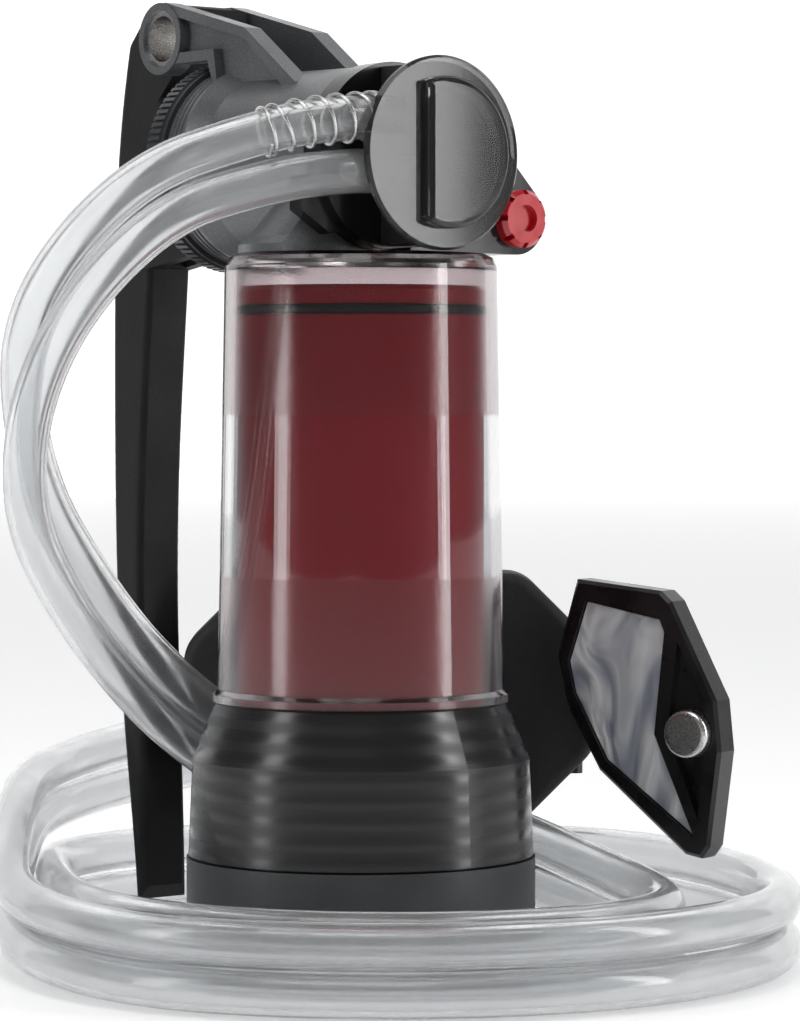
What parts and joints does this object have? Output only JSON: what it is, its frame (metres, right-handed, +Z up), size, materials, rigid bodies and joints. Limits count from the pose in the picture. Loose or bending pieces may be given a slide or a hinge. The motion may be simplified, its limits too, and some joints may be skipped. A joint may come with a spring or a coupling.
{
  "type": "pump water filter",
  "caption": "Hand-pumped camping water filter: lever-driven cross barrel on a clear cartridge with a bottle-cap foot, coiled twin hoses, float and mesh prefilter.",
  "frame": {"origin": "middle of the foot cap's underside, on the cartridge's axis", "axes": "+Z up along the cartridge, +X along the pump barrel towards the valve cover (the lever is at -X), hinge axis along Y"},
  "size_m": [0.2048, 0.1853, 0.213],
  "materials": {
    "foot_plastic": "satin",
    "smoke_plastic": "gloss",
    "housing_smoke": "frosted",
    "core_red": "satin",
    "black_rubber": "satin",
    "potting_resin": "satin",
    "fibre_white": "matt",
    "head_grey": "metallic satin",
    "drawn_steel": "brushed",
    "cap_grey": "satin",
    "bearing_white": "satin",
    "lever_black": "soft touch",
    "plate_black": "gloss",
    "cover_smoke": "clear gloss",
    "knob_red": "gloss",
    "barb_clear": "clear",
    "hose_clear": "translucent",
    "float_foam": "matt",
    "frame_black": "satin",
    "screen_mesh": "fine mesh"
  },
  "bodies": {
    "pump": {"head_body": "head_grey", "cylinder_liner": "drawn_steel", "hinge_pin": "drawn_steel", "housing": "housing_smoke", "filter_core": "core_red", "core_o_ring": "black_rubber", "outlet_o_ring": "black_rubber", "lower_potting": "potting_resin", "upper_potting": "potting_resin", "fibre_bundle": "fibre_white", "bottle_adapter": "smoke_plastic", "bottle_gasket": "black_rubber", "valve_plate": "plate_black", "valve_body": "cover_smoke", "valve_gasket": "black_rubber", "intake_barb": "barb_clear", "purge_barb": "barb_clear", "kink_spring": "drawn_steel", "intake_hose": "hose_clear", "purge_hose": "hose_clear", "hose_manifold": "frame_black", "intake_elbow": "frame_black", "float": "float_foam", "prefilter_frame": "frame_black", "prefilter_screen": "screen_mesh", "prefilter_foam": "screen_mesh", "prefilter_back": "frame_black", "steel_weight": "drawn_steel"},
    "base_cap": {"base_cap": "foot_plastic"},
    "lever": {"handle": "lever_black", "hinge_bushes": "bearing_white"},
    "piston": {"piston_rod": "drawn_steel", "piston": "plate_black", "piston_seal": "black_rubber", "rod_cross_pin": "drawn_steel"},
    "end_cap": {"end_cap": "cap_grey", "rod_bush": "bearing_white", "rod_wiper": "black_rubber"},
    "intake_valve": {"intake_valve": "black_rubber"},
    "outlet_valve": {"outlet_valve": "black_rubber"},
    "valve_cover": {"valve_cover": "cover_smoke"},
    "thumb_knob": {"thumb_knob": "knob_red"}
  },
  "joints": [
    {"name": "handle_swing", "type": "hinge", "parent": "pump", "child": "lever", "pos_m": [-0.059, 0, 0.2048], "axis": [0, 1, 0], "range_deg": [0, 55]},
    {"name": "piston_slide", "type": "slide", "parent": "pump", "child": "piston", "axis": [-1, 0, 0], "range_m": [0, 0.0283]},
    {"name": "end_cap_turn", "type": "hinge", "parent": "pump", "child": "end_cap", "pos_m": [-0.045, 0, 0.1754], "axis": [1, 0, 0], "continuous": true},
    {"name": "base_cap_pull", "type": "slide", "parent": "pump", "child": "base_cap", "axis": [0, 0, -1], "range_m": [0, 0.1]},
    {"name": "cover_pull", "type": "slide", "parent": "pump", "child": "valve_cover", "axis": [1, 0, 0], "range_m": [0, 0.03]},
    {"name": "thumb_knob_turn", "type": "hinge", "parent": "pump", "child": "thumb_knob", "pos_m": [0.019, 0.0296, 0.1625], "axis": [1, 0, 0], "continuous": true},
    {"name": "intake_valve_lift", "type": "slide", "parent": "pump", "child": "intake_valve", "axis": [1, 0, 0], "range_m": [0, 0.0012]},
    {"name": "outlet_valve_lift", "type": "slide", "parent": "pump", "child": "outlet_valve", "axis": [1, 0, 0], "range_m": [0, 0.0012]}
  ],
  "couplings": [
    {"joint": "piston_slide", "follows": "handle_swing", "m_per_rad": 0.0294}
  ]
}
